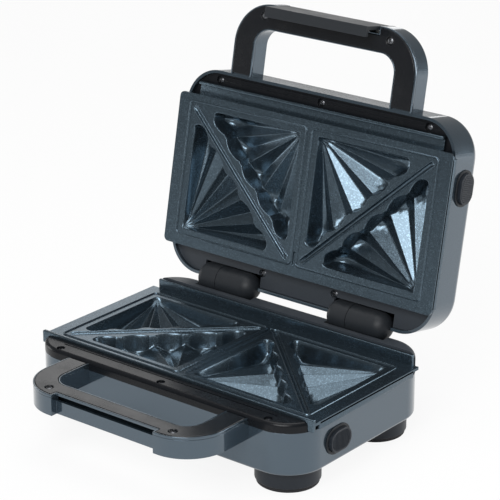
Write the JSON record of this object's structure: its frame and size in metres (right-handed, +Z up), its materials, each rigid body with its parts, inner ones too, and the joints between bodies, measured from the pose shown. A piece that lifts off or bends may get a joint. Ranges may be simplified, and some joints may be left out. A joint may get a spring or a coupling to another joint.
{
  "type": "sandwich toaster",
  "caption": "Electric sandwich toaster with a hinged lid, removable fluted triangle plates, loop handles, a handle latch and plate release buttons.",
  "frame": {"origin": "on the surface the toaster stands on, on its left-right symmetry plane and midway between the front and back walls of the base", "axes": "+X to the right-hand side, where the buttons are; +Y to the back, where the hinges are; +Z up"},
  "size_m": [0.2666, 0.2881, 0.2971],
  "materials": {
    "housing": "metallic grey lacquer over moulded plastic",
    "black_plastic": "fine matte",
    "gloss_black": "high gloss",
    "plate": "non-stick coating over cast aluminium",
    "steel": "zinc plated",
    "foil": "bright rolled sheet",
    "rubber": "soft matte",
    "ceramic": "unglazed",
    "lens": "clear tinted",
    "board": "circuit board"
  },
  "bodies": {
    "base": {"base_shell": "housing", "bottom_cover": "black_plastic", "feet": "black_plastic", "foot_pads": "rubber", "foot_screws": "steel", "base_frame": "gloss_black", "base_frame_screws": "steel", "base_handle_shell": "housing", "base_handle_cover": "gloss_black", "base_handle_screws": "steel", "base_handle_bolts": "steel", "base_hinge_knuckles": "black_plastic", "base_hinge_screws": "steel", "hinge_pins": "steel", "base_reflector": "foil", "base_element": "steel", "base_element_clips": "foil", "base_plate_clips": "steel", "thermostat": "steel", "thermal_fuse": "steel", "terminal_block": "ceramic", "cord_gland": "black_plastic", "base_button_bezel": "black_plastic", "base_button_spring": "steel"},
    "lower_plate": {"base_plate": "plate"},
    "base_button": {"base_button": "black_plastic"},
    "lid": {"lid_shell": "housing", "lid_frame": "gloss_black", "lid_frame_screws": "steel", "lid_handle_shell": "housing", "lid_handle_cover": "gloss_black", "lid_handle_screws": "steel", "lid_handle_bolts": "steel", "lid_hinge_knuckles": "black_plastic", "lid_reflector": "foil", "lid_element": "steel", "lid_element_clips": "foil", "lid_plate_clips": "steel", "indicator_lenses": "lens", "indicator_board": "board", "lid_button_bezel": "black_plastic", "lid_button_spring": "steel", "latch_pin": "steel", "latch_spring": "steel"},
    "upper_plate": {"lid_plate": "plate"},
    "lid_button": {"lid_button": "black_plastic"},
    "latch": {"latch": "housing"}
  },
  "joints": [
    {"name": "lid_hinge", "type": "hinge", "parent": "base", "child": "lid", "pos_m": [0, 0.083, 0.071], "axis": [-1, 0, 0], "range_deg": [-101, 0]},
    {"name": "latch_pivot", "type": "hinge", "parent": "lid", "child": "latch", "pos_m": [0, 0.12912, 0.28208], "axis": [-1, 0, 0], "range_deg": [0, 16], "stiffness_Nm_per_rad": 0.1, "springref_deg": -5.73, "deforming": ["latch_spring"]},
    {"name": "base_button_press", "type": "slide", "parent": "base", "child": "base_button", "axis": [-1, 0, 0], "range_m": [0, 0.003], "stiffness_N_per_m": 800, "springref_m": -0.0005, "deforming": ["base_button_spring"]},
    {"name": "lid_button_press", "type": "slide", "parent": "lid", "child": "lid_button", "axis": [-1, 0, 0], "range_m": [0, 0.003], "stiffness_N_per_m": 800, "springref_m": -0.0005, "deforming": ["lid_button_spring"]},
    {"name": "lower_plate_lift", "type": "slide", "parent": "base", "child": "lower_plate", "axis": [0, 0, 1], "range_m": [0, 0.03]},
    {"name": "upper_plate_lift", "type": "slide", "parent": "lid", "child": "upper_plate", "axis": [0, -0.9816, 0.1908], "range_m": [0, 0.03]}
  ]
}
